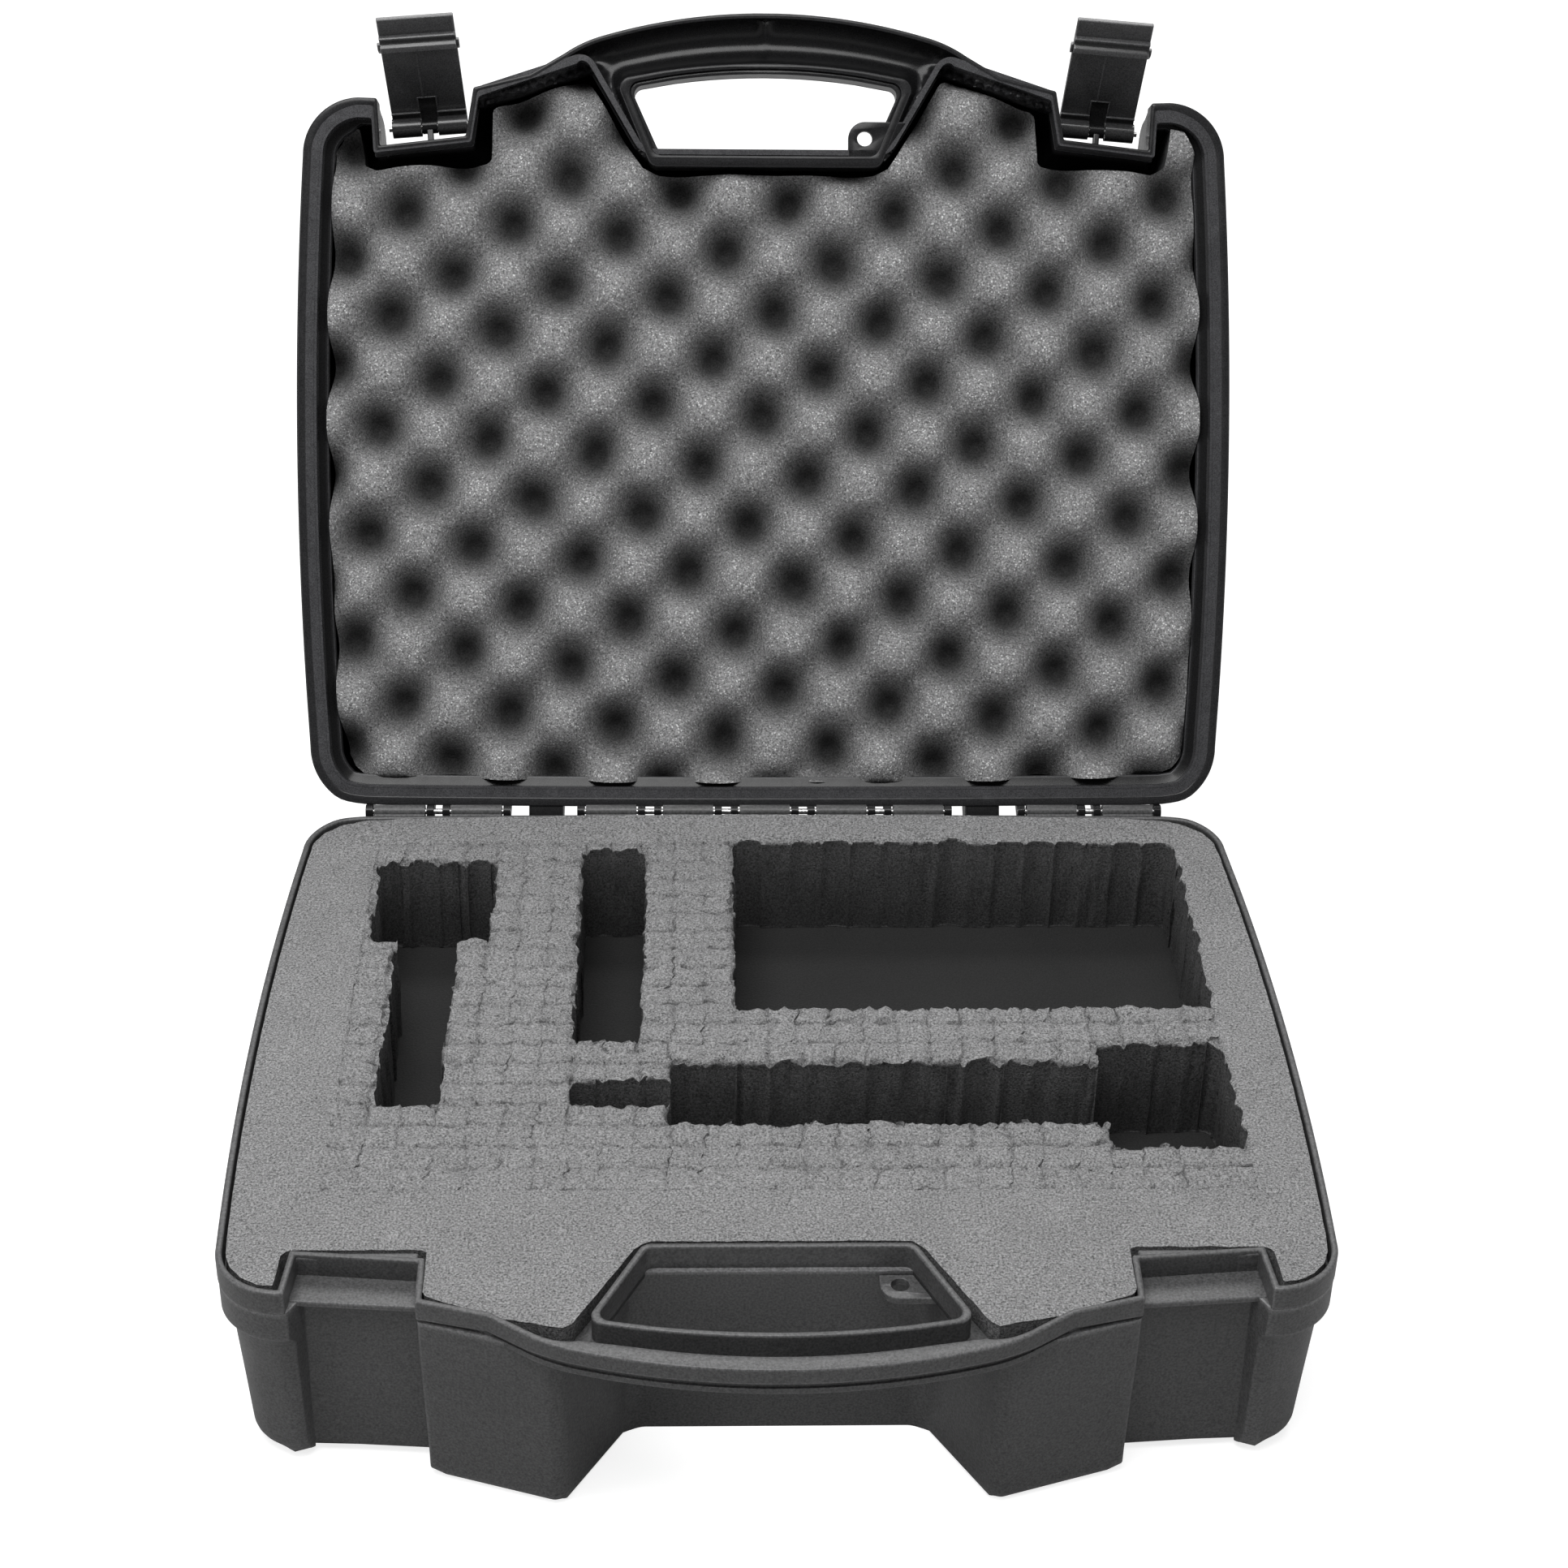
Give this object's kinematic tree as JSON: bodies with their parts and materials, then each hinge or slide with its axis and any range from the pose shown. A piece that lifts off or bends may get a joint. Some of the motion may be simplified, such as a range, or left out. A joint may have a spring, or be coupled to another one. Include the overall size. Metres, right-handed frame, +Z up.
{
  "type": "carrying case",
  "caption": "Hard carrying case for microphones, shown open: moulded base and lid on a rear hinge, swinging front latches, bow handle in two halves, diced base foam and egg-crate lid foam.",
  "frame": {"origin": "centre of the underside of the base, on the floor: half way along the width, and 155 mm in front of the hinge axis", "axes": "+Z up, +X to the right as seen from the front, +Y to the back, towards the hinge; the handle is at -Y. Stored open, with the lid leaning back on its stop."},
  "size_m": [0.408, 0.5449, 0.3917],
  "materials": {
    "shell_plastic": "fine moulded texture, low sheen",
    "lid_plastic": "smooth moulded rim, low sheen",
    "latch_plastic": "smooth moulded",
    "pin_steel": "plain steel wire",
    "base_foam": "open-cell foam, diced",
    "lid_foam": "open-cell foam, egg-crate"
  },
  "bodies": {
    "base": {"base_shell": "shell_plastic", "foam_base_pad": "base_foam", "foam_base_diced": "base_foam"},
    "lid": {"lid_shell": "lid_plastic", "foam_lid": "lid_foam", "hinge_pin_left": "pin_steel", "hinge_pin_centre": "pin_steel", "hinge_pin_right": "pin_steel", "latch_pin_left": "pin_steel", "latch_pin_right": "pin_steel"},
    "left_latch": {"latch_left": "latch_plastic"},
    "right_latch": {"latch_right": "latch_plastic"}
  },
  "joints": [
    {"name": "lid_hinge", "type": "hinge", "parent": "base", "child": "lid", "pos_m": [0, 0.155, 0.087], "axis": [1, 0, 0], "range_deg": [0, 119.5]},
    {"name": "left_latch_pivot", "type": "hinge", "parent": "lid", "child": "left_latch", "pos_m": [-0.148, 0.32823, 0.33632], "axis": [0.9969, 0.0386, 0.0683], "range_deg": [-80, 40.5]},
    {"name": "right_latch_pivot", "type": "hinge", "parent": "lid", "child": "right_latch", "pos_m": [0.148, 0.32823, 0.33632], "axis": [0.9969, -0.0386, -0.0683], "range_deg": [-80, 40.5]}
  ]
}
